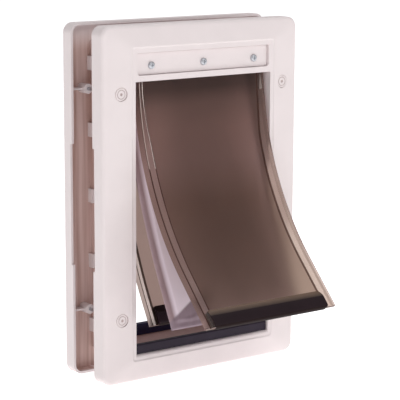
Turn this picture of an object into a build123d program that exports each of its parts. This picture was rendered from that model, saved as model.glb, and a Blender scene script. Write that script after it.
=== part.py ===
from build123d import *

import os
from dataclasses import dataclass
from math import cos, radians, sin

# A dog door clamped through a door panel. X is right, Y is away from the room, Z is up.
# The origin is the centre of the frame, on the room side of the panel.

# Frames
FRAME_WIDTH = 290
FRAME_HEIGHT = 430
CORNER_RADIUS = 12
EDGE_ROUND = 4.5
WALL = 3
DOOR_THICKNESS = 45
INTERIOR_DEPTH = 21.5
EXTERIOR_DEPTH = 20
FACE_RISE = 5

# How near an edge lies to the plane that it is picked by
PICK_ROOM = 0.01

# Opening, with the shallow ledge that frames it and the rounded lip at its foot
SIDE_BORDER = 44.2
TOP_BORDER = 66
BOTTOM_BORDER = 34
LEDGE_DEPTH = 0.8
LEDGE_BEVEL = 2
LEDGE_SIDE = 4.2
LEDGE_ABOVE = 39
LEDGE_BELOW = 6
LEDGE_RADIUS = 3
LIP_ROUND = 3.7

# Header pocket, clamp bar and its screws
POCKET_RISE = 7
POCKET_HEIGHT = 26.6
POCKET_INSET = 2.6
POCKET_CORNER = 4
HEADER_HEIGHT = 35.5
BAR_GAP = 0.3
BAR_SINK = 3.7
BAR_THICKNESS = 5
BAR_ROUND = 0.8
CLAMP_SCREW_INSET = 21.8
CLAMP_SCREW_RISE = 11.1
CLAMP_SHANK = 2.2
CLAMP_HEAD = 4.4
CLAMP_HEAD_HEIGHT = 2.8
CLAMP_HEAD_ROUND = 1.7
SCREW_SLOT = 0.9
STACK_GAP = 2.8
STACK_DROP = 4.2

# Sleeves that telescope through the panel
SLEEVE_INSET = 2
SLEEVE_GAP = 0.5
OUTER_SLEEVE_WALL = 3.5
OUTER_SLEEVE_REACH = 35
BACK_WALL = 3.5
BACK_WALL_INSET = 2

# Sill
SILL_RISE = 6
SILL_SETBACK = 15.5
STRIP_GAP = 0.5
FRONT_STRIP_SETBACK = 4
FRONT_STRIP_DEPTH = 7
FRONT_STRIP_HEIGHT = 11.5
REAR_STRIP_LEAD = 5.25
REAR_STRIP_DEPTH = 9.5
REAR_STRIP_HEIGHT = 14
STRIP_ROUND = 1.5

# Screws that pull the frames together, and their plugs
SCREW_SIDE = 19.4
SCREW_DROP = 79.4
SHANK = 2
SHANK_INSET = 4
HEAD = 4.5
HEAD_HEIGHT = 3
HEAD_SINK = 18.5
SCREW_PLAY = 0.15
WELL = 5.2
WELL_WALL = 3
WELL_FLOOR = 4
PLUG_RADIUS = 8
PLUG_HEIGHT = 3.5
PLUG_SINK = 2
PLUG_STEM = 4
PLUG_GROOVE = 5.6
PLUG_DIMPLE = 1.8
PLUG_RELIEF = 0.8
BOSS_RADIUS = 6
BOSS_LENGTH = 16
BOSS_TIP = 1
GUSSET = 2
GUSSET_DEPTH = 12

# Grips on the outer sleeve and reliefs in the rim edges
TAB_COUNT = 5
TAB_FOOT = 25
TAB_HEAD = 22.5
TAB_HEIGHT = 17
TAB_DEPTH = 10
TAB_RISE = 4
RELIEF_DEPTH = 3.4
RELIEF_END = 141
RELIEF_DROP = 3

# Flaps, each with its lean at its top and at its foot, its clearance and its straight end
FLAP_GAP = 4.3
TINTED_THICKNESS = 2.5
MIDDLE_THICKNESS = 6
ROOT_THICKNESS = 3
HINGE_PLAY = 0.3
FRONT_TOP_DEG = 3
FRONT_FOOT_DEG = 44
FRONT_CLEARANCE = 16
FRONT_STRAIGHT = 70
MIDDLE_TOP_DEG = 11
MIDDLE_FOOT_DEG = 26
MIDDLE_CLEARANCE = 28
MIDDLE_STRAIGHT = 60
REAR_TOP_DEG = 0.5
REAR_FOOT_DEG = 29.5
REAR_CLEARANCE = 25
REAR_STRAIGHT = 25
RIB_HEIGHT = 2
RIB_WIDTH = 5
RIB_GAP = 1.8
RIB_START = 9
MAGNET_GAP = 0.5
MAGNET_HEIGHT = 24
MAGNET_THICKNESS = 9
MAGNET_CORNER = 3.5
MAGNET_EDGE = 1.5
MAGNET_FOOT = 3

# Heights and widths that follow
FRAME_TOP = FRAME_HEIGHT / 2
FRAME_SIDE = FRAME_WIDTH / 2
OPENING_WIDTH = FRAME_WIDTH - 2 * SIDE_BORDER
OPENING_TOP = FRAME_TOP - TOP_BORDER
OPENING_BOTTOM = BOTTOM_BORDER - FRAME_TOP
OPENING_HEIGHT = OPENING_TOP - OPENING_BOTTOM
POCKET_WIDTH = OPENING_WIDTH - 2 * POCKET_INSET
POCKET_BOTTOM = OPENING_TOP + POCKET_RISE
POCKET_TOP = POCKET_BOTTOM + POCKET_HEIGHT
CLAMP_SCREW_X = POCKET_WIDTH / 2 - CLAMP_SCREW_INSET
CLAMP_SCREW_Z = POCKET_BOTTOM + CLAMP_SCREW_RISE
HEADER_ROOF = OPENING_TOP + HEADER_HEIGHT
STACK_TOP = HEADER_ROOF - STACK_DROP
SLEEVE_HALF = OPENING_WIDTH / 2 + WALL
SLEEVE_TOP = HEADER_ROOF + WALL
SLEEVE_BOTTOM = OPENING_BOTTOM - WALL
SILL_TOP = OPENING_BOTTOM + SILL_RISE
SCREW_X = OPENING_WIDTH / 2 + SCREW_SIDE
SCREW_Z = FRAME_TOP - SCREW_DROP
FLAP_WIDTH = OPENING_WIDTH - 2 * FLAP_GAP
RIB_STEP = RIB_WIDTH + RIB_GAP
SHEET_WIDTH = FLAP_WIDTH - 2 * (RIB_STEP + RIB_WIDTH)

# Depths that follow
FACE_Y = -INTERIOR_DEPTH - FACE_RISE
LEDGE_Y = FACE_Y + LEDGE_DEPTH
INSIDE_Y = WALL - INTERIOR_DEPTH
BAR_Y = LEDGE_Y + BAR_SINK
ROOT_Y = BAR_Y + BAR_THICKNESS
SILL_FRONT = FACE_Y + SILL_SETBACK
HEAD_SEAT = FACE_Y + HEAD_SINK
PLUG_TOP = FACE_Y + PLUG_SINK
PLUG_SEAT = PLUG_TOP + PLUG_HEIGHT
SLEEVE_END = DOOR_THICKNESS - SLEEVE_INSET
BACK_WALL_Y = SLEEVE_END - BACK_WALL_INSET - BACK_WALL
OUTER_SLEEVE_START = DOOR_THICKNESS - OUTER_SLEEVE_REACH
EXTERIOR_INSIDE_Y = DOOR_THICKNESS + EXTERIOR_DEPTH - WALL
SHANK_END = EXTERIOR_INSIDE_Y - SHANK_INSET
FRONT_HINGE_Y = ROOT_Y + TINTED_THICKNESS / 2
REAR_HINGE_Y = BACK_WALL_Y - TINTED_THICKNESS / 2
MIDDLE_HINGE_Y = (FRONT_HINGE_Y + REAR_HINGE_Y) / 2


@dataclass
class Flap:
    """A flap seen from its side: an arc from the hinge, then a straight end."""

    hinge_y: float
    hinge_z: float
    thickness: float
    start_deg: float
    end_deg: float
    length: float
    straight: float

    def at(self, run, offset):
        """The point that lies run along the flap and offset in front of its middle."""
        arc = self.length - self.straight
        turn = radians(self.end_deg - self.start_deg)
        radius = arc / turn
        first = radians(self.start_deg)
        lean = first + turn * min(run, arc) / arc
        beyond = max(run - arc, 0)
        y = self.hinge_y - radius * cos(first) + (radius - offset) * cos(lean) - beyond * sin(lean)
        z = self.hinge_z + radius * sin(first) - (radius - offset) * sin(lean) - beyond * cos(lean)
        return y, z


def hung(hinge_y, thickness, start_deg, end_deg, clearance, straight):
    """A flap whose rounded top turns just below the header, short of the opening's foot by a clearance."""
    hinge_z = OPENING_TOP - HINGE_PLAY - thickness / 2
    return Flap(hinge_y, hinge_z, thickness, start_deg, end_deg, OPENING_HEIGHT - clearance, straight)


FRONT = hung(FRONT_HINGE_Y, TINTED_THICKNESS, FRONT_TOP_DEG, FRONT_FOOT_DEG, FRONT_CLEARANCE, FRONT_STRAIGHT)
MIDDLE = hung(
    MIDDLE_HINGE_Y, MIDDLE_THICKNESS, MIDDLE_TOP_DEG, MIDDLE_FOOT_DEG, MIDDLE_CLEARANCE, MIDDLE_STRAIGHT
)
REAR = hung(REAR_HINGE_Y, TINTED_THICKNESS, REAR_TOP_DEG, REAR_FOOT_DEG, REAR_CLEARANCE, REAR_STRAIGHT)


def prism(sketch, near, far):
    """A sketch in X and Z, extruded from y near to y far."""
    return extrude(Plane.XZ.offset(-far) * sketch, amount=far - near)


def window(width, bottom, top, radius=0):
    """An upright rectangle centred on x, with rounded corners where a radius is given."""
    height = top - bottom
    shape = RectangleRounded(width, height, radius) if radius else Rectangle(width, height)
    return Pos(0, (top + bottom) / 2) * shape


def block(width, near, far, bottom, top):
    """A plain block centred on x."""
    return prism(window(width, bottom, top), near, far)


def rod(x, z, radius, near, far):
    """A cylinder along Y."""
    return prism(Pos(x, z) * Circle(radius), near, far)


def screw_corners():
    """The places of the frame screws."""
    return [(x, z) for x in (-SCREW_X, SCREW_X) for z in (-SCREW_Z, SCREW_Z)]


def clamp_places():
    """The places of the clamp screws along the bar."""
    return [-CLAMP_SCREW_X, 0, CLAMP_SCREW_X]


def pocket_outline(gap):
    """The header pocket's outline, drawn in by a gap, with its lower corners rounded."""
    shape = window(POCKET_WIDTH - 2 * gap, POCKET_BOTTOM + gap, POCKET_TOP - gap)
    return fillet(shape.vertices().group_by(Axis.Y)[0], POCKET_CORNER - gap)


def bezel(depth):
    """A hollow crowned frame, open at y 0 and facing -Y, with its ledge, opening and lip."""
    face = -depth - FACE_RISE
    ledge_face = face + LEDGE_DEPTH
    ledge_width = OPENING_WIDTH + 2 * LEDGE_SIDE
    ledge_bottom = OPENING_BOTTOM - LEDGE_BELOW
    ledge_top = OPENING_TOP + LEDGE_ABOVE
    outline = window(FRAME_WIDTH, -FRAME_TOP, FRAME_TOP, CORNER_RADIUS)
    brow = window(
        ledge_width + 2 * LEDGE_BEVEL,
        ledge_bottom - LEDGE_BEVEL,
        ledge_top + LEDGE_BEVEL,
        LEDGE_RADIUS + LEDGE_BEVEL,
    )
    ledge = window(ledge_width, ledge_bottom, ledge_top, LEDGE_RADIUS)
    body = prism(outline, -depth, 0)
    body += loft([Plane.XZ.offset(depth) * outline, Plane.XZ.offset(-face) * brow], ruled=True)
    shoulder = body.edges().filter_by_position(Axis.Y, -depth - PICK_ROOM, -depth + PICK_ROOM)
    body = fillet(shoulder, EDGE_ROUND)
    body -= loft([Plane.XZ.offset(-face) * brow, Plane.XZ.offset(-ledge_face) * ledge], ruled=True)
    hollow = window(FRAME_WIDTH - 2 * WALL, WALL - FRAME_TOP, FRAME_TOP - WALL, CORNER_RADIUS - WALL)
    body -= prism(hollow, WALL - depth, 0)
    body -= block(OPENING_WIDTH, face, 0, OPENING_BOTTOM, OPENING_TOP)
    lip = body.edges().filter_by(Axis.X).sort_by_distance((0, ledge_face, OPENING_BOTTOM))[0]
    body = fillet(lip, LIP_ROUND)
    relief_bottom = RELIEF_END - RELIEF_DROP - FRAME_TOP
    relief_top = FRAME_TOP - RELIEF_END - RELIEF_DROP
    body -= block(FRAME_WIDTH, -RELIEF_DEPTH, 0, relief_bottom, relief_top)
    return body


def sill():
    """The raised sill inside the sleeve, hollow underneath."""
    width = OPENING_WIDTH - 2 * WALL
    top = block(OPENING_WIDTH, SILL_FRONT, SLEEVE_END, OPENING_BOTTOM, SILL_TOP)
    return top - block(width, SILL_FRONT + WALL, SLEEVE_END, OPENING_BOTTOM, SILL_TOP - WALL)


def interior_frame():
    """The room side: bezel, sleeve, header with its back wall, sill and screw wells."""
    body = bezel(INTERIOR_DEPTH)
    body -= prism(pocket_outline(0), FACE_Y, INSIDE_Y)
    body += block(2 * SLEEVE_HALF, INSIDE_Y, SLEEVE_END, SLEEVE_BOTTOM, SLEEVE_TOP) - block(
        OPENING_WIDTH, INSIDE_Y, SLEEVE_END, OPENING_BOTTOM, HEADER_ROOF
    )
    body += block(OPENING_WIDTH, BACK_WALL_Y, BACK_WALL_Y + BACK_WALL, OPENING_TOP, HEADER_ROOF)
    body += sill()
    for x, z in screw_corners():
        body += rod(x, z, WELL + WELL_WALL, INSIDE_Y, HEAD_SEAT + WELL_FLOOR)
    for x, z in screw_corners():
        body -= rod(x, z, PLUG_RADIUS + SCREW_PLAY, FACE_Y, PLUG_SEAT)
        body -= rod(x, z, WELL, FACE_Y, HEAD_SEAT)
        body -= rod(x, z, SHANK + SCREW_PLAY, HEAD_SEAT, HEAD_SEAT + WELL_FLOOR)
    for x in clamp_places():
        body -= rod(x, CLAMP_SCREW_Z, CLAMP_SHANK + SCREW_PLAY, BACK_WALL_Y, SLEEVE_END)
    return body


def exterior_frame():
    """The outer side: bezel, a sleeve that runs round the inner one, bosses, gussets and grips."""
    body = Pos(0, DOOR_THICKNESS, 0) * mirror(bezel(EXTERIOR_DEPTH), about=Plane.XZ)
    inner_half = SLEEVE_HALF + SLEEVE_GAP
    outer_half = inner_half + OUTER_SLEEVE_WALL
    low = SLEEVE_BOTTOM - SLEEVE_GAP
    high = SLEEVE_TOP + SLEEVE_GAP
    lowest = low - OUTER_SLEEVE_WALL
    highest = high + OUTER_SLEEVE_WALL
    sleeve = block(2 * outer_half, OUTER_SLEEVE_START, EXTERIOR_INSIDE_Y, lowest, highest)
    body += sleeve - block(2 * inner_half, OUTER_SLEEVE_START, EXTERIOR_INSIDE_Y, low, high)
    for x, z in screw_corners():
        side = 1 if x > 0 else -1
        reach = FRAME_SIDE - WALL - SCREW_X
        body += rod(x, z, BOSS_RADIUS, EXTERIOR_INSIDE_Y - BOSS_LENGTH, EXTERIOR_INSIDE_Y)
        web = Pos(x + side * reach / 2, z) * Rectangle(reach, GUSSET)
        body += prism(web, EXTERIOR_INSIDE_Y - GUSSET_DEPTH, EXTERIOR_INSIDE_Y)
    for x, z in screw_corners():
        body -= rod(x, z, SHANK + SCREW_PLAY, EXTERIOR_INSIDE_Y - BOSS_LENGTH, SHANK_END + BOSS_TIP)
    first_tab = SLEEVE_BOTTOM + TAB_FOOT
    pitch = (SLEEVE_TOP - TAB_HEAD - first_tab) / (TAB_COUNT - 1)
    for index in range(TAB_COUNT):
        middle = first_tab + pitch * index
        for side in (-1, 1):
            tab = Pos(side * (outer_half + TAB_RISE / 2), middle) * Rectangle(TAB_RISE, TAB_HEIGHT)
            body += prism(tab, EXTERIOR_INSIDE_Y - TAB_DEPTH, EXTERIOR_INSIDE_Y)
    return body


def clamp_holes(near, far):
    """Clearance for the clamp screws between two depths."""
    return [rod(x, CLAMP_SCREW_Z, CLAMP_SHANK + SCREW_PLAY, near, far) for x in clamp_places()]


def clamp_bar():
    """The bar that fills the header pocket, its front edges eased."""
    bar = prism(pocket_outline(BAR_GAP), BAR_Y, ROOT_Y)
    bar = fillet(bar.faces().sort_by(Axis.Y)[0].edges(), BAR_ROUND)
    return bar - clamp_holes(BAR_Y, ROOT_Y)


def spacer(near, far):
    """A block in the header that keeps two flaps apart."""
    width = OPENING_WIDTH - 2 * STACK_GAP
    return block(width, near, far, OPENING_TOP, STACK_TOP) - clamp_holes(near, far)


def root(flap, thickness):
    """The clamped top strip of a flap, down to its hinge."""
    near = flap.hinge_y - thickness / 2
    far = flap.hinge_y + thickness / 2
    bottom = flap.hinge_z + flap.thickness / 2 + HINGE_PLAY
    return block(FLAP_WIDTH, near, far, bottom, STACK_TOP) - clamp_holes(near, far)


def band(flap, back, front, start, end):
    """The side outline of a layer of a flap, between two offsets from its middle."""
    arc = flap.length - flap.straight
    halfway = (start + arc) / 2
    edges = [
        ThreePointArc(flap.at(start, front), flap.at(halfway, front), flap.at(arc, front)),
        Polyline(flap.at(arc, front), flap.at(end, front), flap.at(end, back), flap.at(arc, back)),
        ThreePointArc(flap.at(arc, back), flap.at(halfway, back), flap.at(start, back)),
    ]
    if start:
        edges.append(Line(flap.at(start, back), flap.at(start, front)))
    else:
        lean = radians(flap.start_deg)
        crown = flap.hinge_y + front * sin(lean), flap.hinge_z + front * cos(lean)
        edges.append(ThreePointArc(flap.at(start, back), crown, flap.at(start, front)))
    return Plane.YZ * make_face(edges)


def blade(flap, end):
    """The swinging sheet of a flap, with a round top on its hinge line."""
    half = flap.thickness / 2
    return extrude(band(flap, -half, half, 0, end), amount=FLAP_WIDTH / 2, both=True)


def foot(flap, rise):
    """The plane of a flap's straight end at a rise above its foot, with y up the flap and z to its front."""
    y, z = flap.at(flap.length - rise, 0)
    lean = radians(flap.end_deg)
    return Plane(origin=(0, y, z), x_dir=(1, 0, 0), z_dir=(0, -cos(lean), sin(lean)))


def tinted_flap(flap):
    """A vinyl flap with two ribs along each side edge, notched at its foot for the magnet bar."""
    half = flap.thickness / 2
    notch = foot(flap, 0) * Rectangle(SHEET_WIDTH, 2 * MAGNET_FOOT)
    body = blade(flap, flap.length) - extrude(notch, amount=flap.thickness, both=True)
    rib = extrude(band(flap, half, half + RIB_HEIGHT, RIB_START, flap.length), amount=RIB_WIDTH)
    edge = FLAP_WIDTH / 2
    for x in (-edge, RIB_STEP - edge, edge - RIB_STEP - RIB_WIDTH, edge - RIB_WIDTH):
        body += Pos(x, 0, 0) * rib
    return body


def flap_magnet(flap):
    """The magnet bar along a flap's bottom edge, between its borders and slotted over the sheet."""
    face = foot(flap, MAGNET_HEIGHT / 2)
    outline = RectangleRounded(SHEET_WIDTH - 2 * MAGNET_GAP, MAGNET_HEIGHT, MAGNET_CORNER)
    bar = extrude(face * outline, amount=MAGNET_THICKNESS / 2, both=True)
    rims = bar.faces().sort_by(Axis(face.origin, face.z_dir))
    bar = fillet(rims[0].edges() + rims[-1].edges(), MAGNET_EDGE)
    return bar - blade(flap, flap.length - MAGNET_FOOT)


def strip(start, depth, bottom, height):
    """A sill magnet strip with its two upper edges rounded."""
    bar = block(OPENING_WIDTH - 2 * STRIP_GAP, start, start + depth, bottom, bottom + height)
    upper = bar.edges().filter_by(Axis.X).sort_by(Axis.Z)[-2:]
    return fillet(upper, STRIP_ROUND)


def clamp_screw(x):
    """A long pan-head screw through the whole header, cross slotted."""
    head = rod(x, CLAMP_SCREW_Z, CLAMP_HEAD, BAR_Y - CLAMP_HEAD_HEIGHT, BAR_Y)
    crown = head.faces().sort_by(Axis.Y)[0].edges()
    head = fillet(crown, CLAMP_HEAD_ROUND)
    cross = Rectangle(CLAMP_HEAD, SCREW_SLOT) + Rectangle(SCREW_SLOT, CLAMP_HEAD)
    near = BAR_Y - CLAMP_HEAD_HEIGHT
    head -= prism(Pos(x, CLAMP_SCREW_Z) * cross, near, near + CLAMP_HEAD_HEIGHT / 2)
    return head + rod(x, CLAMP_SCREW_Z, CLAMP_SHANK, BAR_Y, SLEEVE_END - BOSS_TIP)


def frame_screw(x, z):
    """A long screw from its well in the interior frame to a boss in the exterior one."""
    head = rod(x, z, HEAD, HEAD_SEAT - HEAD_HEIGHT, HEAD_SEAT)
    cross = Rectangle(HEAD, SCREW_SLOT) + Rectangle(SCREW_SLOT, HEAD)
    near = HEAD_SEAT - HEAD_HEIGHT
    head -= prism(Pos(x, z) * cross, near, near + HEAD_HEIGHT / 2)
    return head + rod(x, z, SHANK, HEAD_SEAT, SHANK_END)


def screw_plug(x, z):
    """A cap over a frame screw, with a ring and a dimple in its face."""
    cap = rod(x, z, PLUG_RADIUS, PLUG_TOP, PLUG_SEAT)
    cap = chamfer(cap.faces().sort_by(Axis.Y)[0].edges(), PLUG_RELIEF)
    ring = Circle(PLUG_GROOVE) - Circle(PLUG_GROOVE - PLUG_RELIEF)
    cap -= prism(Pos(x, z) * ring, PLUG_TOP, PLUG_TOP + PLUG_RELIEF)
    cap -= rod(x, z, PLUG_DIMPLE, PLUG_TOP, PLUG_TOP + PLUG_RELIEF)
    return cap + rod(x, z, WELL - SCREW_PLAY, PLUG_SEAT, PLUG_SEAT + PLUG_STEM)


def pieces():
    """Every physical piece, by node name."""
    half_root = ROOT_THICKNESS / 2
    half_tint = TINTED_THICKNESS / 2
    front_strip = FACE_Y + FRONT_STRIP_SETBACK
    rear_strip = REAR_HINGE_Y - REAR_STRIP_LEAD
    made = {
        "interior_frame": interior_frame(),
        "exterior_frame": exterior_frame(),
        "clamp_bar": clamp_bar(),
        "front_spacer": spacer(FRONT_HINGE_Y + half_tint, MIDDLE_HINGE_Y - half_root),
        "rear_spacer": spacer(MIDDLE_HINGE_Y + half_root, REAR_HINGE_Y - half_tint),
        "front_flap_root": root(FRONT, TINTED_THICKNESS),
        "middle_flap_root": root(MIDDLE, ROOT_THICKNESS),
        "rear_flap_root": root(REAR, TINTED_THICKNESS),
        "front_flap": tinted_flap(FRONT),
        "middle_flap": blade(MIDDLE, MIDDLE.length),
        "rear_flap": tinted_flap(REAR),
        "front_flap_magnet": flap_magnet(FRONT),
        "rear_flap_magnet": flap_magnet(REAR),
        "front_sill_magnet": strip(front_strip, FRONT_STRIP_DEPTH, OPENING_BOTTOM, FRONT_STRIP_HEIGHT),
        "rear_sill_magnet": strip(rear_strip, REAR_STRIP_DEPTH, SILL_TOP, REAR_STRIP_HEIGHT),
        "clamp_screws": Compound(children=[clamp_screw(x) for x in clamp_places()]),
        "frame_screws": Compound(children=[frame_screw(x, z) for x, z in screw_corners()]),
    }
    for x, z in screw_corners():
        name = f"screw_plug_{'upper' if z > 0 else 'lower'}_{'right' if x > 0 else 'left'}"
        made[name] = screw_plug(x, z)
    return made


os.makedirs("parts", exist_ok=True)
for node, shape in pieces().items():
    export_step(shape, f"parts/{node}.step")
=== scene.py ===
import math

import bmesh
import bpy
import numpy as np
from mathutils import Matrix, Vector

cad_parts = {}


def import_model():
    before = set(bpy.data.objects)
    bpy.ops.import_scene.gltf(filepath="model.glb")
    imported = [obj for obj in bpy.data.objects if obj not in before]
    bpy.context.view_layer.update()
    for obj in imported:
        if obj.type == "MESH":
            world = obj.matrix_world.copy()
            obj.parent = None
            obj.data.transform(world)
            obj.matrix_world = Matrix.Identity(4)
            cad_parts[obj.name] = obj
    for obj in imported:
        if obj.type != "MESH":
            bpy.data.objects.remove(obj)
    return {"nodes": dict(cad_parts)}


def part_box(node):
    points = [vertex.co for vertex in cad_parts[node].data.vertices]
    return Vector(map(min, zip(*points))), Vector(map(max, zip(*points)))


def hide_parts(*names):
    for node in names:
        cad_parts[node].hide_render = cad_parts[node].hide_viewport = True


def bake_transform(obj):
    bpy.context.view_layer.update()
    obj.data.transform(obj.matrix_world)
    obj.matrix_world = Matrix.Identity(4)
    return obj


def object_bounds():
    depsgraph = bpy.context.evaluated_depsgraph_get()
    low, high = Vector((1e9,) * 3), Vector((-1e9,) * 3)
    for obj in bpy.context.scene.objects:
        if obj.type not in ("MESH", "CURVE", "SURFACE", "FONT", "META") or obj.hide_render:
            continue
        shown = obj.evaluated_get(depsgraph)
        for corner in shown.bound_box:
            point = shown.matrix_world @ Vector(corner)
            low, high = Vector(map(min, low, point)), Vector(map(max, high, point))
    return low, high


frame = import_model()
cad_low, cad_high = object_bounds()
nodes = frame["nodes"]
scene = bpy.context.scene

MM = 0.001

# Places on the frames that the painted shade follows, in metres
RIM_Y = 0.045
RIM_FADE = 0.007
TRAY_FLOOR_Y = 0.062
TRAY_HALF = 0.142
TRAY_TOP = 0.212
TRAY_TOP_FADE = 0.03
SLEEVE_HALF = 0.1078
GRIP_HALF = 0.1118
BOSS_Z = 0.1356
BOSS_RADIUS = 0.006
BOSS_SIDE = 0.1142
PLUG_FACE_Y = -0.0245
PLUG_FLOOR_Y = -0.0237
SILL_LOW = -0.182
SILL_HIGH = -0.1735
SILL_HALF = 0.1012
SILL_END_Y = 0.07
EDGE_ROOM = 0.0003

# Stretches over which a flap's painted shade sets in: in from its edge and down its run, in metres,
# and the share of its folded corner, which the mesh keeps at the same scale
SEAM_SHADE_FADE = 0.012, 0.006
BAND_SHADE_FADE = 0.2905, 0.2995
FOLD_SHADE_FADE = 0.0, MM

# The frames' colour, and the stops and scales of the clouds, the streaks of painted shade and the
# grain in a finish
FRAME_WHITE = 236, 226, 226
CLOUD_LOW, CLOUD_HIGH = 0.3, 0.7
STREAK_LOW, STREAK_HIGH = 0.35, 0.65
STREAK_SCALE = 160
STREAK_STRETCH = 1, 1, 0.03
FINE_DETAIL = 2.0
GRAIN_DEPTH = 0.0004


# Materials

def shader(name):
    """A new material with its node tree and its principled shader."""
    mat = bpy.data.materials.new(name)
    mat.use_nodes = True
    tree = mat.node_tree
    return mat, tree, tree.nodes["Principled BSDF"]


def noise(tree, scale, detail, stretch=(1, 1, 1)):
    """A noise texture in object space."""
    place = tree.nodes.new("ShaderNodeTexCoord")
    mapping = tree.nodes.new("ShaderNodeMapping")
    mapping.inputs["Scale"].default_value = stretch
    tex = tree.nodes.new("ShaderNodeTexNoise")
    tex.inputs["Scale"].default_value = scale
    tex.inputs["Detail"].default_value = detail
    tree.links.new(place.outputs["Object"], mapping.inputs["Vector"])
    tree.links.new(mapping.outputs["Vector"], tex.inputs["Vector"])
    return tex.outputs["Fac"]


def ramp(tree, factor, stops):
    """A colour ramp over a factor."""
    node = tree.nodes.new("ShaderNodeValToRGB")
    band = node.color_ramp
    while len(band.elements) < len(stops):
        band.elements.new(0.5)
    for element, (place, colour) in zip(band.elements, stops):
        element.position = place
        element.color = (*colour, 1)
    tree.links.new(factor, node.inputs["Fac"])
    return node.outputs["Color"]


def mix(tree, factor, first, second, way="MIX"):
    """Two colours mixed by a factor, which is a number or a socket."""
    node = tree.nodes.new("ShaderNodeMix")
    node.data_type = "RGBA"
    node.blend_type = way
    if isinstance(factor, float):
        node.inputs["Factor"].default_value = factor
    else:
        tree.links.new(factor, node.inputs["Factor"])
    tree.links.new(first, node.inputs["A"])
    tree.links.new(second, node.inputs["B"])
    return node.outputs["Result"]


def bump(tree, bsdf, height, strength, distance):
    """A bump on a shader's normal."""
    node = tree.nodes.new("ShaderNodeBump")
    node.inputs["Strength"].default_value = strength
    node.inputs["Distance"].default_value = distance
    tree.links.new(height, node.inputs["Height"])
    tree.links.new(node.outputs["Normal"], bsdf.inputs["Normal"])


def math_node(tree, operation, *values):
    """A math node over sockets and numbers."""
    node = tree.nodes.new("ShaderNodeMath")
    node.operation = operation
    for socket, value in zip(node.inputs, values):
        if isinstance(value, (int, float)):
            socket.default_value = value
        else:
            tree.links.new(value, socket)
    return node.outputs["Value"]


def within(tree, value, low, high):
    """1 where a value lies between two bounds, and 0 elsewhere."""
    return math_node(tree, "COMPARE", value, (low + high) / 2, (high - low) / 2)


def rise(tree, value, low, high):
    """A value's climb from 0 at one bound to 1 at the other."""
    node = tree.nodes.new("ShaderNodeMapRange")
    node.inputs["From Min"].default_value = low
    node.inputs["From Max"].default_value = high
    tree.links.new(value, node.inputs["Value"])
    return node.outputs["Result"]


def coordinates(tree):
    """The object-space place of a point, as x, y and z."""
    place = tree.nodes.new("ShaderNodeTexCoord")
    parts = tree.nodes.new("ShaderNodeSeparateXYZ")
    tree.links.new(place.outputs["Object"], parts.inputs["Vector"])
    return parts.outputs["X"], parts.outputs["Y"], parts.outputs["Z"]


def attribute(tree, name):
    """A number that a mesh keeps at each of its points."""
    node = tree.nodes.new("ShaderNodeAttribute")
    node.attribute_name = name
    return node.outputs["Fac"]


def linear(r, g, b):
    """A colour given in 0 to 255 display values, as linear light."""
    def one(v):
        v /= 255
        return v / 12.92 if v <= 0.04045 else ((v + 0.055) / 1.055) ** 2.4
    return one(r), one(g), one(b)


def darker(colour, share):
    """A colour with a share of its light taken away."""
    return tuple(c * (1 - share) for c in colour)


def shade(*shares):
    """Stops of an even shade, as place and share of the light that is left."""
    return [(place, (share,) * 3) for place, share in shares]


def clouded(tree, colour, spread, scale, detail):
    """A colour that dips by a spread in faint clouds."""
    stops = [(CLOUD_LOW, darker(colour, spread)), (CLOUD_HIGH, colour)]
    return ramp(tree, noise(tree, scale, detail), stops)


def moulded(name, colour, spread, rough, gloss=0.4, scale=35, grain=900, strength=0.05):
    """Plain moulded plastic: a faint cloud of tone and a fine grain."""
    mat, tree, bsdf = shader(name)
    tone = clouded(tree, colour, spread, scale, detail=3.0)
    tree.links.new(tone, bsdf.inputs["Base Color"])
    bsdf.inputs["Roughness"].default_value = rough
    bsdf.inputs["Specular IOR Level"].default_value = gloss
    bump(tree, bsdf, noise(tree, grain, FINE_DETAIL), strength, GRAIN_DEPTH)
    return mat


def white(name, rough=0.5):
    """The white plastic of the frames."""
    return moulded(name, linear(*FRAME_WHITE), spread=0.03, rough=rough)


def paint_shade(mat, factor, dim, bright):
    """Mixes painted shade into a moulded plastic by a factor, as upright streaks between two
    display colours.
    """
    tree = mat.node_tree
    base = tree.nodes["Principled BSDF"].inputs["Base Color"]
    plain = base.links[0].from_socket
    stops = [(STREAK_LOW, linear(*dim)), (STREAK_HIGH, linear(*bright))]
    streaks = ramp(tree, noise(tree, STREAK_SCALE, FINE_DETAIL, STREAK_STRETCH), stops)
    tree.links.new(mix(tree, factor, plain, streaks), base)


def tray_white_painted_shade():
    """White plastic with painted shade, warm and dim, inside the outer tray but for its grips,
    bosses and webs.
    """
    mat = white("moulded_white_tray_painted_shade")
    tree = mat.node_tree
    x, y, z = coordinates(tree)
    side = math_node(tree, "ABSOLUTE", x)
    height = math_node(tree, "ABSOLUTE", z)
    off_boss = math_node(tree, "SUBTRACT", height, BOSS_Z)
    above_floor = within(tree, y, 0, TRAY_FLOOR_Y - EDGE_ROOM)
    grips = within(tree, side, SLEEVE_HALF + EDGE_ROOM, GRIP_HALF + EDGE_ROOM)
    bosses = math_node(
        tree,
        "MULTIPLY",
        within(tree, off_boss, -BOSS_RADIUS - EDGE_ROOM, BOSS_RADIUS + EDGE_ROOM),
        within(tree, side, BOSS_SIDE - EDGE_ROOM, TRAY_HALF),
    )
    proud = math_node(tree, "MULTIPLY", above_floor, math_node(tree, "MAXIMUM", grips, bosses))
    tray_shade = rise(tree, y, RIM_Y, RIM_Y + RIM_FADE)
    for inside in (
        within(tree, side, 0, TRAY_HALF + EDGE_ROOM),
        within(tree, height, 0, TRAY_TOP + EDGE_ROOM),
        within(tree, y, 0, TRAY_FLOOR_Y + EDGE_ROOM),
        math_node(tree, "SUBTRACT", 1.0, proud),
        rise(tree, z, TRAY_TOP, TRAY_TOP - TRAY_TOP_FADE),
    ):
        tray_shade = math_node(tree, "MULTIPLY", tray_shade, inside)
    paint_shade(mat, tray_shade, (196, 163, 153), (224, 198, 192))
    return mat


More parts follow.
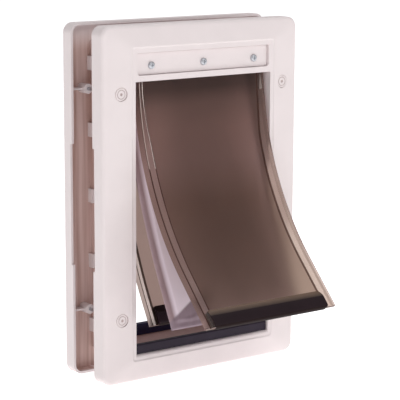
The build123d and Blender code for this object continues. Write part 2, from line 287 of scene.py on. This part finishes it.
def sill_white_painted_shade():
    """White plastic with painted shade, warm, on the sill behind the front magnet strip."""
    mat = white("moulded_white_sill_painted_shade")
    tree = mat.node_tree
    x, y, z = coordinates(tree)
    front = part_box("front_sill_magnet")[1][1]
    sill = within(tree, z, SILL_LOW, SILL_HIGH)
    for inside in (within(tree, x, -SILL_HALF, SILL_HALF), within(tree, y, front, SILL_END_Y)):
        sill = math_node(tree, "MULTIPLY", sill, inside)
    paint_shade(mat, sill, (180, 144, 140), (188, 153, 149))
    return mat


def plug_white():
    """White plastic with painted shade in the ring, the dimple and the chamfer of a plug."""
    mat = white("plug_white", rough=0.45)
    tree = mat.node_tree
    _, y, _ = coordinates(tree)
    sunk_shade = rise(tree, y, PLUG_FACE_Y, PLUG_FLOOR_Y)
    paint_shade(mat, sunk_shade, (190, 172, 170), (200, 182, 180))
    return mat


def tinted(name, colour, rough, see, shade_down_run=(), rim=(), coat=0.0, ior=1.18):
    """Tinted flexible vinyl, slightly cloudy, with painted shade that changes down its run and in
    from its rim.
    """
    mat, tree, bsdf = shader(name)
    tone = clouded(tree, colour, spread=0.06, scale=14, detail=FINE_DETAIL)
    for way, stops in (("run", shade_down_run), ("rim", rim)):
        if stops:
            tone = mix(tree, 1.0, tone, ramp(tree, attribute(tree, way), stops), "MULTIPLY")
    tree.links.new(tone, bsdf.inputs["Base Color"])
    bsdf.inputs["Roughness"].default_value = rough
    bsdf.inputs["IOR"].default_value = ior
    bsdf.inputs["Specular IOR Level"].default_value = 0.3
    bsdf.inputs["Transmission Weight"].default_value = see
    bsdf.inputs["Coat Weight"].default_value = coat
    bsdf.inputs["Coat Roughness"].default_value = 0.12
    bump(tree, bsdf, noise(tree, 60, FINE_DETAIL), strength=0.04, distance=0.0006)
    return mat


def seamed_painted_shade():
    """Soft white vinyl with painted shade along its sealed side seams and under its folded corner.
    """
    mat = moulded(
        "soft_white_vinyl_painted_shade", linear(254, 241, 254), spread=0.03, rough=0.5,
        gloss=0.3, scale=18, grain=300, strength=0.12,
    )
    tree = mat.node_tree
    seam = rise(tree, attribute(tree, "rim"), *SEAM_SHADE_FADE)
    paint_shade(mat, seam, (170, 145, 151), (178, 154, 160))
    fold = rise(tree, attribute(tree, "fold"), *FOLD_SHADE_FADE)
    paint_shade(mat, fold, (148, 129, 140), (156, 137, 148))
    return mat


def banded_painted_light():
    """Tan vinyl on the sloped top of a magnet bar, lighter as a painted highlight, which darkens
    down to the bar's face in painted shade.
    """
    mat = moulded("magnet_band_tan_painted_highlight", linear(120, 97, 81), spread=0.12, rough=0.4, gloss=0.3)
    tree = mat.node_tree
    low = rise(tree, attribute(tree, "run"), *BAND_SHADE_FADE)
    paint_shade(mat, low, (46, 33, 29), (52, 38, 33))
    return mat


def metal(name, colour, rough):
    """Zinc plate with a faint grain."""
    mat, tree, bsdf = shader(name)
    tone = clouded(tree, colour, spread=0.2, scale=500, detail=4.0)
    tree.links.new(tone, bsdf.inputs["Base Color"])
    bsdf.inputs["Metallic"].default_value = 1.0
    bsdf.inputs["Roughness"].default_value = rough
    bump(tree, bsdf, noise(tree, 1500, FINE_DETAIL), strength=0.08, distance=0.0002)
    return mat


SILL_PAINTED_SHADE = sill_white_painted_shade()
WHITE = white("moulded_white")
TRAY_PAINTED_SHADE = tray_white_painted_shade()
PLUG_PAINTED_SHADE = plug_white()
SILL_PURPLE = moulded("sill_strip_purple", linear(47, 37, 52), spread=0.2, rough=0.45, gloss=0.2)
SILL_NAVY = moulded("sill_strip_navy", linear(51, 45, 79), spread=0.2, rough=0.45, gloss=0.2)
BAR_BLACK = moulded("magnet_black", linear(40, 27, 32), spread=0.2, rough=0.4, gloss=0.15)
BAR_BROWN = moulded("magnet_foot_brown", linear(40, 29, 29), spread=0.2, rough=0.6, gloss=0.05)
BAND_TAN_HIGHLIGHT = banded_painted_light()

# Painted shade on the front flap's tints, down its run and in from its edges, by place in metres:
# darkest at the top, and on the sheet also towards its foot and its middle
SHEET_PAINTED_SHADE = shade((0.0, 0.44), (0.012, 0.48), (0.03, 0.85), (0.06, 0.95), (0.1, 0.92))
SHEET_PAINTED_SHADE += [(0.15, (0.69, 0.66, 0.61)), (0.25, (0.63, 0.60, 0.55))]
INNER_RIB_PAINTED_SHADE = shade((0.0, 0.45), (0.03, 0.55), (0.06, 0.8), (0.085, 1.0))
OUTER_RIB_PAINTED_SHADE = shade((0.0, 0.36), (0.03, 0.42), (0.07, 0.68), (0.12, 1.0))
SHEET_RIM_PAINTED_SHADE = shade((0.028, 1.0), (0.065, 0.85))

SHEET = tinted(
    "tinted_vinyl", (0.505, 0.382, 0.335), rough=0.5, see=0.93, shade_down_run=SHEET_PAINTED_SHADE, rim=SHEET_RIM_PAINTED_SHADE,
)
OUTER_RIB = tinted(
    "tinted_vinyl_outer_rib", (0.82, 0.645, 0.585), rough=0.25, see=0.95, shade_down_run=OUTER_RIB_PAINTED_SHADE, ior=1.08,
)
# The far rib is the outer rib on the flap's right side, in a darker copy of its tint: painted
# shade.
FAR_RIB_PAINTED_SHADE = tinted("tinted_vinyl_far_rib_painted_shade", (0.55, 0.445, 0.405), rough=0.25, see=0.9, ior=1.08)
INNER_RIB = tinted(
    "tinted_vinyl_inner_rib", (0.88, 0.76, 0.71), rough=0.25, see=0.95, shade_down_run=INNER_RIB_PAINTED_SHADE, ior=1.08,
)
# Painted shade: a near-black tint on the grooves and along the feet of the ribs.
GROOVE_PAINTED_SHADE = tinted("tinted_vinyl_groove_painted_shade", (0.10, 0.055, 0.045), rough=0.35, see=0.5, ior=1.03)
# Painted glints: pale, nearly opaque lines along the left border's ribs.
RIB_LINE_PAINTED_GLINT = tinted("tinted_vinyl_rib_line_painted_glint", (0.66, 0.54, 0.49), rough=0.2, see=0.2, coat=0.3)
RIB_CREST_PAINTED_GLINT = tinted("tinted_vinyl_rib_crest_painted_glint", (0.92, 0.81, 0.75), rough=0.2, see=0.05, coat=0.2)
# Painted highlight: the lug's pale, mostly opaque tint.
LUG_PAINTED_HIGHLIGHT = tinted("tinted_vinyl_lug_painted_highlight", (0.36, 0.29, 0.265), rough=0.3, see=0.3)
REAR_SHEET = tinted("tinted_vinyl_rear", (0.245, 0.17, 0.15), rough=0.42, see=0.94)
REAR_RIB = tinted("tinted_vinyl_rear_rib", (0.52, 0.44, 0.41), rough=0.3, see=0.85)
REAR_BEAD = tinted("tinted_vinyl_rear_bead", (0.90, 0.82, 0.77), rough=0.2, see=0.6, coat=0.4)
# Painted shade: a near-black tint on the rear flap's grooves beside its bead.
REAR_GROOVE_PAINTED_SHADE = tinted(
    "tinted_vinyl_rear_groove_painted_shade", (0.04, 0.025, 0.02), rough=0.35, see=0.3, ior=1.05,
)
VINYL_END = moulded("tinted_vinyl_end", linear(112, 90, 84), spread=0.1, rough=0.5)
SOFT_PAINTED_SHADE = seamed_painted_shade()
ZINC = metal("zinc_plate", (0.6, 0.62, 0.66), rough=0.32)

NODE_LOOKS = {
    "interior_frame": SILL_PAINTED_SHADE,
    "exterior_frame": TRAY_PAINTED_SHADE,
    "clamp_bar": WHITE,
    "front_spacer": WHITE,
    "rear_spacer": WHITE,
    "front_flap_root": SHEET,
    "middle_flap_root": SOFT_PAINTED_SHADE,
    "rear_flap_root": REAR_SHEET,
    "front_sill_magnet": SILL_PURPLE,
    "rear_sill_magnet": SILL_NAVY,
    "clamp_screws": ZINC,
    "frame_screws": ZINC,
    "screw_plug_upper_left": PLUG_PAINTED_SHADE,
    "screw_plug_upper_right": PLUG_PAINTED_SHADE,
    "screw_plug_lower_left": PLUG_PAINTED_SHADE,
    "screw_plug_lower_right": PLUG_PAINTED_SHADE,
}
for name, mat in NODE_LOOKS.items():
    for slot in nodes[name].material_slots:
        slot.material = mat


# Flaps, each an arc from its hinge and then a straight end, in millimetres

class Flap:
    """A flap's side curve, and the shares of its chord, before and after its hinge, which it keeps
    but does not use.
    """

    def __init__(self, hinge, lean_deg, length, straight, bends):
        start, end = lean_deg
        self.hinge = hinge
        self.first = math.radians(start)
        self.turn = math.radians(end - start)
        self.length = length
        self.arc = length - straight
        self.radius = self.arc / self.turn
        self.centre_y = hinge[0] - self.radius * math.cos(self.first)
        self.centre_z = hinge[1] + self.radius * math.sin(self.first)
        self.before, self.after = bends

    def at(self, run, offset):
        """The point (y, z) that lies run along the flap and offset in front of its middle."""
        lean = self.first + self.turn * min(run, self.arc) / self.arc
        beyond = max(run - self.arc, 0)
        reach = self.radius - offset
        y = self.centre_y + reach * math.cos(lean) - beyond * math.sin(lean)
        z = self.centre_z - reach * math.sin(lean) - beyond * math.cos(lean)
        return y, z

    def bend(self, piece, body):
        """Bakes a piece's place into its mesh and bends nothing: the closed flap hangs straight."""
        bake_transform(piece)


FRONT = Flap((-15.75, 147.45), (3, 44), length=314, straight=70, bends=(0.3, 1.13))
MIDDLE = Flap((10.25, 145.7), (11, 26), length=302, straight=60, bends=(1.31, 1.215))
REAR = Flap((36.25, 147.45), (0.5, 29.5), length=305, straight=25, bends=(0.18, 1.14))
FLAP_HALF = 96.5
TINT_HALF = 1.25
FOOT_ROOM = 0.5


def turn_outwards(mesh):
    """Turns the faces of a closed mesh outwards."""
    shell = bmesh.new()
    shell.from_mesh(mesh)
    bmesh.ops.recalc_face_normals(shell, faces=shell.faces)
    shell.to_mesh(mesh)
    shell.free()


def mesh_object(name, verts, faces, mats, indices, **places):
    """A smooth mesh from millimetre points, which keeps numbers, such as its run, at each point."""
    mesh = bpy.data.meshes.new(name)
    mesh.from_pydata([tuple(c * MM for c in v) for v in verts], [], faces)
    turn_outwards(mesh)
    for mat in mats:
        mesh.materials.append(mat)
    mesh.polygons.foreach_set("material_index", indices)
    mesh.polygons.foreach_set("use_smooth", [True] * len(mesh.polygons))
    for way, values in places.items():
        kept = mesh.attributes.new(way, "FLOAT", "POINT")
        kept.data.foreach_set("value", [v * MM for v in values])
    mesh.update()
    obj = bpy.data.objects.new(name, mesh)
    scene.collection.objects.link(obj)
    return obj


def sharpen(obj, degrees):
    """Marks edges sharper than an angle, so that flat faces stay flat under smooth shading."""
    mesh = obj.data
    limit = math.cos(math.radians(degrees))
    normals = [p.normal.copy() for p in mesh.polygons]
    users = {}
    for p in mesh.polygons:
        for key in p.edge_keys:
            users.setdefault(key, []).append(p.index)
    for edge in mesh.edges:
        pair = users.get(tuple(sorted(edge.vertices)), [])
        edge.use_edge_sharp = len(pair) == 2 and normals[pair[0]].dot(normals[pair[1]]) < limit


def lofted(name, rings, mats, strips, cap, **places):
    """A closed skin through rings of equally many points; strips gives each ring's materials."""
    count = len(rings[0])
    verts = [p for ring in rings for p in ring]
    faces, indices = [], []
    for r in range(len(rings) - 1):
        for i in range(count):
            j = (i + 1) % count
            near, far = r * count, (r + 1) * count
            faces.append((near + i, near + j, far + j, far + i))
            indices.append(strips[r][i])
    last = (len(rings) - 1) * count
    faces.append(tuple(range(count - 1, -1, -1)))
    faces.append(tuple(range(last, last + count)))
    indices += [cap, cap]
    return mesh_object(name, verts, faces, mats, indices, **places)


# A border's front from the flap's edge inwards: place, rise and the strip that starts there
# The gap strips carry painted shade, dark lines in the grooves and along the feet of the ribs.
PLAIN, OUTER, GAP_SHADED, INNER, LINE_GLINT, CREST_GLINT, FAR_SHADED, END = range(8)
FRONT_BORDER = [
    (0.0, 0.2, OUTER), (0.3, 1.0, OUTER), (1.0, 1.7, OUTER), (2.2, 2.0, OUTER),
    (3.4, 2.0, OUTER), (4.5, 1.5, OUTER), (5.0, 0.6, GAP_SHADED), (5.4, 0.0, GAP_SHADED),
    (6.3, 0.0, LINE_GLINT), (7.2, 0.4, INNER), (7.7, 1.3, INNER), (8.6, 1.8, INNER),
    (10.0, 2.0, INNER), (12.4, 2.0, INNER), (13.6, 1.7, INNER), (14.5, 1.1, GAP_SHADED),
    (15.2, 0.0, CREST_GLINT), (15.9, 0.0, GAP_SHADED), (16.8, 0.0, PLAIN),
]
REAR_BORDER = [
    (0.0, 0.2, OUTER), (0.3, 1.0, OUTER), (1.2, 1.6, OUTER), (2.4, 1.6, OUTER),
    (3.0, 1.0, GAP_SHADED), (3.4, 0.2, GAP_SHADED), (4.5, 0.2, INNER), (4.8, 1.2, INNER),
    (5.5, 2.0, INNER), (6.8, 2.0, INNER), (7.8, 1.4, INNER), (8.2, 0.4, GAP_SHADED),
    (8.5, 0.0, GAP_SHADED), (12.0, 0.0, PLAIN),
]
INNER_START = 7.7
INNER_END = 15.2
INNER_TAPER = (15, 50, 75, 130), (10.3, 12.0, 14.5, INNER_END)
RIB_GROWTH = (16, 34), (0.15, 1.0)
# The line and crest strips are painted glints along the left border's ribs, which end part of the
# way down; on the right side they are left out.
GLINT_END = 102
# On the right side the outer rib and its groove take the far strip, the outer rib's darker copy in
# painted shade.
RIGHT_STRIPS = {OUTER: FAR_SHADED, LINE_GLINT: INNER, CREST_GLINT: GAP_SHADED}

# Points of a tinted flap's skin, across it and down it
PLAIN_HALF = 70
FRONT_COLUMNS = 15
BACK_COLUMNS = 16
TOP_RUNS = 0.0, 4, 8, 12
MAIN_START = 16
MAIN_ROWS = 72


def flap_front(border):
    """Front points of a tinted flap from its left edge to its right: place, rise and strip."""
    left = [(x - FLAP_HALF, up, strip) for x, up, strip in border]
    middle = [(x, 0.0, PLAIN) for x in np.linspace(-PLAIN_HALF, PLAIN_HALF, FRONT_COLUMNS)]
    right = []
    for i in range(len(border) - 1, -1, -1):
        x, up, _ = border[i]
        strip = border[i - 1][2] if i else OUTER
        if strip == GAP_SHADED and x < INNER_START:
            strip = FAR_SHADED
        else:
            strip = RIGHT_STRIPS.get(strip, strip)
        right.append((FLAP_HALF - x, up, strip))
    return left + middle + right


def tapered(x, run):
    """A place across the flap, drawn out where the inner rib narrows towards its top."""
    end = np.interp(run, *INNER_TAPER)
    full = 0, INNER_START, INNER_END, FLAP_HALF
    drawn = 0, INNER_START, end, FLAP_HALF
    return math.copysign(FLAP_HALF - np.interp(FLAP_HALF - abs(x), full, drawn), x)


def strip_at(strip, run):
    """A strip's material at a run: the painted glints along the ribs end part of the way down,
    where painted shade lines take their place.
    """
    if strip in (LINE_GLINT, CREST_GLINT) and run >= GLINT_END:
        return GAP_SHADED
    return strip


def tinted_flap(name, flap, body, mats, border):
    """A tinted flap with two rounded ribs along each side edge."""
    front = flap_front(border)
    back = np.linspace(FLAP_HALF, -FLAP_HALF, BACK_COLUMNS)
    back_strips = [PLAIN] * (len(back) - 1) + [OUTER]
    main = np.linspace(MAIN_START, flap.length - FOOT_ROOM, MAIN_ROWS)
    rings, strips, along, inwards = [], [], [], []
    for run in np.concatenate([TOP_RUNS, main]):
        grown = np.interp(run, *RIB_GROWTH)
        ring = [(tapered(x, run), *flap.at(run, TINT_HALF + up * grown)) for x, up, _ in front]
        ring += [(x, *flap.at(run, -TINT_HALF)) for x in back]
        rings.append(ring)
        strips.append([strip_at(strip, run) for _, _, strip in front] + back_strips)
        along += [run] * len(ring)
        inwards += [FLAP_HALF - abs(x) for x, _, _ in ring]
    obj = lofted(name, rings, mats, strips, END, run=along, rim=inwards)
    sharpen(obj, degrees=50)
    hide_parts(body)
    flap.bend(obj, body)


# A lug between the tops of the ribs, from its tip down: run, half its width and its rise
LUG_PLACE = 5.7
LUG_RINGS = [
    (2, 0.2, 0.5), (6, 0.7, 1.2), (10, 1.3, 1.6), (14, 1.9, 1.9),
    (17, 2.4, 2.0), (19, 2.5, 1.7), (20, 2.3, 0.4),
]
# Its section, as shares of that half width and that rise
LUG_SECTION = [
    (-1, 0.1), (-0.7, 0.8), (-0.3, 1.0), (0.3, 1.0),
    (0.7, 0.8), (1, 0.1), (0.9, -0.2), (-0.9, -0.2),
]


def lug(name, flap, body, x):
    """A small wedge that stands between the tops of the two ribs of a border, tinted pale as a
    painted highlight.
    """
    rings = []
    for run, half, up in LUG_RINGS:
        ring = []
        for across, share in LUG_SECTION:
            ring.append((x + half * across, *flap.at(run, TINT_HALF + up * share)))
        rings.append(ring)
    obj = lofted(name, rings, [LUG_PAINTED_HIGHLIGHT], [[0] * len(LUG_SECTION)] * len(rings), 0)
    sharpen(obj, degrees=70)
    flap.bend(obj, body)


# A magnet bar's section from its top round its front: rise from the foot, offset and the strip
# that starts there
BAND, BLACK, FOOT = range(3)
MAGNET_HALF = 84.2
MAGNET_HEIGHT = 24.0
MAGNET_SECTION = [
    (24.0, -3.6, BLACK), (24.0, 1.3, BAND), (22.0, 1.6, BAND), (19.5, 3.0, BAND),
    (16.5, 4.2, BAND), (15.2, 4.5, BLACK), (3.6, 4.5, BLACK), (1.6, 4.0, FOOT),
    (0.5, 3.0, FOOT), (0.0, 1.6, FOOT), (0.0, -3.0, FOOT), (1.4, -4.3, BLACK),
    (3.0, -4.5, BLACK), (22.0, -4.5, BLACK),
]
# Its rounded ends: place in from the end and cut at the top, of which the foot takes a share
MAGNET_ENDS = [(0.0, 3.2), (0.3, 2.0), (1.0, 1.0), (2.0, 0.3), (3.5, 0.0)]
FOOT_CUT_SHARE = 0.5
MAGNET_COLUMNS = 8


def magnet(name, flap, body, node, band):
    """The magnet bar of a flap: a sloped top, a flat face, a rounded foot and rounded ends."""
    stations = [(x - MAGNET_HALF, cut) for x, cut in MAGNET_ENDS]
    stations += [(x, 0.0) for x in np.linspace(-PLAIN_HALF, PLAIN_HALF, MAGNET_COLUMNS)]
    stations += [(MAGNET_HALF - x, cut) for x, cut in reversed(MAGNET_ENDS)]
    rings, along = [], []
    for x, cut in stations:
        lowest, highest = cut * FOOT_CUT_SHARE, MAGNET_HEIGHT - cut
        runs = [flap.length - min(max(up, lowest), highest) for up, _, _ in MAGNET_SECTION]
        section = zip(runs, MAGNET_SECTION)
        rings.append([(x, *flap.at(run, offset)) for run, (_, offset, _) in section])
        along += runs
    strips = [[strip for _, _, strip in MAGNET_SECTION]] * len(rings)
    obj = lofted(name, rings, [band, BAR_BLACK, BAR_BROWN], strips, BLACK, run=along)
    sharpen(obj, degrees=55)
    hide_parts(node)
    flap.bend(obj, body)


# Folds of the soft flap: place across and along it, direction, half its length, width and depth
CREASES = [
    (-75, 281, -0.52, 20, 3.0, 0.5),
    (-74, 292, 0.08, 16, 2.2, 0.8),
    (-66, 288, -0.3, 14, 3.5, -0.8),
    (-62, 262, -0.9, 18, 5.0, 0.8),
    (-30, 282, 0.7, 26, 4.0, 1.3),
    (20, 275, -0.8, 26, 4.0, 1.4),
    (62, 284, 0.6, 20, 3.5, 1.6),
    (76, 262, -1.1, 20, 4.0, 1.3),
]
# Its ripples, which grow from a run down to its foot
RIPPLE_START = 205
RIPPLE_GROWTH = 95
RIPPLE_DEPTH = 0.35
RIPPLE_ACROSS = 9.0
RIPPLE_DOWN = 23.0
# Its sealed seam, its rounded edge and its filling
SEAM_WIDTH = 7.0
SEAM_HALF = 1.5
EDGE_WIDTH = 1.5
EDGE_SHARE = 0.25
PUFF_WIDTH = 6.0
PUFF = 2.2
# Its painted shade under the folded corner: a point on the shade's edge, the edge's slope down the
# flap, how soft the edge is and where the shade fades out across the flap
FOLD_PLACE = -90, 287
FOLD_SLOPE = math.radians(-30)
FOLD_EDGE = -0.5, 1.5
FOLD_END = -50, -25
# Points of its skin, as first place, last place and count, closer together at that corner
SOFT_EDGE = 1
SOFT_FINE_COLUMNS = 4 - FLAP_HALF, -45, 40
SOFT_COLUMNS = -42.5, FLAP_HALF - 4, 54
SOFT_TOP_RUNS = 0.0, 2
SOFT_ROWS = 5, 248, 96
SOFT_FINE_ROWS = 250, 297, 40
SOFT_FOOT_RUNS = 299.5, 301.5


def inset(x, run):
    """How far a point of the soft flap lies from its nearest free edge."""
    return min(FLAP_HALF - abs(x), MIDDLE.length - run)


def puff(x, run):
    """Half the soft flap's thickness: thin at its sealed seam and full inside it."""
    edge = min(max(inset(x, run) / EDGE_WIDTH, EDGE_SHARE), 1)
    climb = min(max((inset(x, run) - SEAM_WIDTH) / PUFF_WIDTH, 0), 1)
    return SEAM_HALF * edge + PUFF * climb * climb * (3 - 2 * climb)


def crease(x, run):
    """How far the soft flap is folded forward at a point."""
    fold = 0.0
    for cx, cr, angle, reach, width, depth in CREASES:
        dx, dr = x - cx, run - cr
        along = dx * math.cos(angle) + dr * math.sin(angle)
        across = dr * math.cos(angle) - dx * math.sin(angle)
        fold += depth * math.exp(-((along / reach) ** 2) - (across / width) ** 2)
    low = max(0.0, (run - RIPPLE_START) / RIPPLE_GROWTH)
    return fold + RIPPLE_DEPTH * math.sin(x / RIPPLE_ACROSS + run / RIPPLE_DOWN) * low


def folded(x, run):
    """How far a point lies in the painted shade under the folded corner, from 0 outside it to 1
    inside it.
    """
    dx, dr = x - FOLD_PLACE[0], run - FOLD_PLACE[1]
    below = dr * math.cos(FOLD_SLOPE) - dx * math.sin(FOLD_SLOPE)
    return float(np.interp(below, FOLD_EDGE, (0, 1)) * np.interp(x, FOLD_END, (1, 0)))


def padded_flap():
    """The soft middle flap: a sealed seam round a puffed panel, creased near its foot."""
    xs = np.concatenate([
        (-FLAP_HALF, SOFT_EDGE - FLAP_HALF),
        np.linspace(*SOFT_FINE_COLUMNS),
        np.linspace(*SOFT_COLUMNS),
        (FLAP_HALF - SOFT_EDGE, FLAP_HALF),
    ])
    runs = np.concatenate([
        SOFT_TOP_RUNS,
        np.linspace(*SOFT_ROWS),
        np.linspace(*SOFT_FINE_ROWS),
        SOFT_FOOT_RUNS,
    ])
    columns, rows = len(xs), len(runs)
    half = columns * rows
    verts, inwards, fold_shades = [], [], []
    for sign in (1, -1):
        for run in runs:
            verts += [(x, *MIDDLE.at(run, sign * puff(x, run) + crease(x, run))) for x in xs]
            inwards += [FLAP_HALF - abs(x) for x in xs]
            fold_shades += [folded(x, run) for x in xs]
    faces = []
    for r in range(rows - 1):
        for i in range(columns - 1):
            a = r * columns + i
            quad = (a, a + 1, a + columns + 1, a + columns)
            faces.append(quad)
            faces.append(tuple(half + v for v in reversed(quad)))
    rim = list(range(columns)) + [r * columns + columns - 1 for r in range(1, rows)]
    rim += [(rows - 1) * columns + i for i in range(columns - 2, -1, -1)]
    rim += [r * columns for r in range(rows - 2, 0, -1)]
    for k, a in enumerate(rim):
        b = rim[(k + 1) % len(rim)]
        faces.append((b, a, half + a, half + b))
    indices = [0] * len(faces)
    # The fold attribute carries the painted shade under the folded corner.
    obj = mesh_object("middle_flap_padded", verts, faces, [SOFT_PAINTED_SHADE], indices, rim=inwards, fold=fold_shades)
    sharpen(obj, degrees=75)
    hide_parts("middle_flap")
    MIDDLE.bend(obj, "middle_flap")


# Materials of the tinted flaps, in the order of the strips; the rear one has no painted glint lines
FRONT_LOOKS = [SHEET, OUTER_RIB, GROOVE_PAINTED_SHADE, INNER_RIB, RIB_LINE_PAINTED_GLINT, RIB_CREST_PAINTED_GLINT, FAR_RIB_PAINTED_SHADE, VINYL_END]
REAR_LOOKS = [REAR_SHEET, REAR_RIB, REAR_GROOVE_PAINTED_SHADE, *[REAR_BEAD] * 3, REAR_RIB, VINYL_END]

tinted_flap("front_flap_vinyl", FRONT, "front_flap", FRONT_LOOKS, FRONT_BORDER)
tinted_flap("rear_flap_vinyl", REAR, "rear_flap", REAR_LOOKS, REAR_BORDER)
lug("front_flap_lug", FRONT, "front_flap", FLAP_HALF - LUG_PLACE)
magnet("front_flap_magnet_bar", FRONT, "front_flap", "front_flap_magnet", BAND_TAN_HIGHLIGHT)
magnet("rear_flap_magnet_bar", REAR, "rear_flap", "rear_flap_magnet", BAR_BROWN)
padded_flap()


# Floor, light and camera

FLOOR_HALF = 6.0
FLOOR_GLOW = 0.82
WORLD_GLOW = 0.38
WORLD_TINT = 1.0, 0.98, 0.985
# Soft boxes: name, place, size, power and colour
LIGHTS = [
    ("key", (0.3, -2.0, 1.4), (1.4, 1.0), 10, (1, 1, 1)),
    ("left", (-2.0, -1.0, 0.7), (1.2, 1.2), 2, (0.97, 0.95, 1.0)),
    ("overhead", (0.35, 0.25, 1.8), (1.2, 0.8), 10, (1, 1, 1)),
]
CAMERA_PLACE = (-1.20979, -1.65270, 0.37697)
CAMERA_FORWARD = (0.58443, 0.79039, -0.18361)
CAMERA_ROLL = math.radians(0.22)
CAMERA_LENS = 152.34
CAMERA_SENSOR = 36


def floor():
    """A plain pale floor under the part."""
    z = cad_low[2]
    corners = [(-1, -1), (1, -1), (1, 1), (-1, 1)]
    mesh = bpy.data.meshes.new("floor")
    verts = [(x * FLOOR_HALF, y * FLOOR_HALF, z) for x, y in corners]
    mesh.from_pydata(verts, [], [(0, 1, 2, 3)])
    mat = moulded(
        "floor_pale", linear(250, 249, 249), spread=0.01, rough=0.9,
        gloss=0.1, scale=3, grain=400, strength=0.01,
    )
    glow = mat.node_tree.nodes["Principled BSDF"]
    glow.inputs["Emission Color"].default_value = (1, 1, 1, 1)
    glow.inputs["Emission Strength"].default_value = FLOOR_GLOW
    mesh.materials.append(mat)
    obj = bpy.data.objects.new("floor", mesh)
    scene.collection.objects.link(obj)


def area(name, place, size, power, colour):
    """A soft box that faces the part."""
    data = bpy.data.lights.new(name, "AREA")
    data.shape = "RECTANGLE"
    data.size, data.size_y = size
    data.energy = power
    data.color = colour
    obj = bpy.data.objects.new(name, data)
    obj.location = place
    obj.rotation_euler = (-Vector(place)).to_track_quat("-Z", "Y").to_euler()
    scene.collection.objects.link(obj)


def world():
    """An even pale surround."""
    if scene.world is None:
        scene.world = bpy.data.worlds.new("studio")
    scene.world.use_nodes = True
    back = scene.world.node_tree.nodes["Background"]
    back.inputs["Color"].default_value = (*WORLD_TINT, 1)
    back.inputs["Strength"].default_value = WORLD_GLOW


def camera():
    """The photograph's viewpoint."""
    forward = Vector(CAMERA_FORWARD).normalized()
    right = forward.cross(Vector((0, 0, 1))).normalized()
    up = right.cross(forward)
    turned_right = right * math.cos(CAMERA_ROLL) + up * math.sin(CAMERA_ROLL)
    turned_up = up * math.cos(CAMERA_ROLL) - right * math.sin(CAMERA_ROLL)
    data = bpy.data.cameras.new("photo")
    data.sensor_width = CAMERA_SENSOR
    data.lens = CAMERA_LENS
    obj = bpy.data.objects.new("photo", data)
    turn = Matrix((turned_right, turned_up, -forward)).transposed()
    obj.matrix_world = Matrix.Translation(CAMERA_PLACE) @ turn.to_4x4()
    scene.collection.objects.link(obj)
    scene.camera = obj


floor()
world()
for light in LIGHTS:
    area(*light)
camera()
scene.view_settings.view_transform = "Standard"
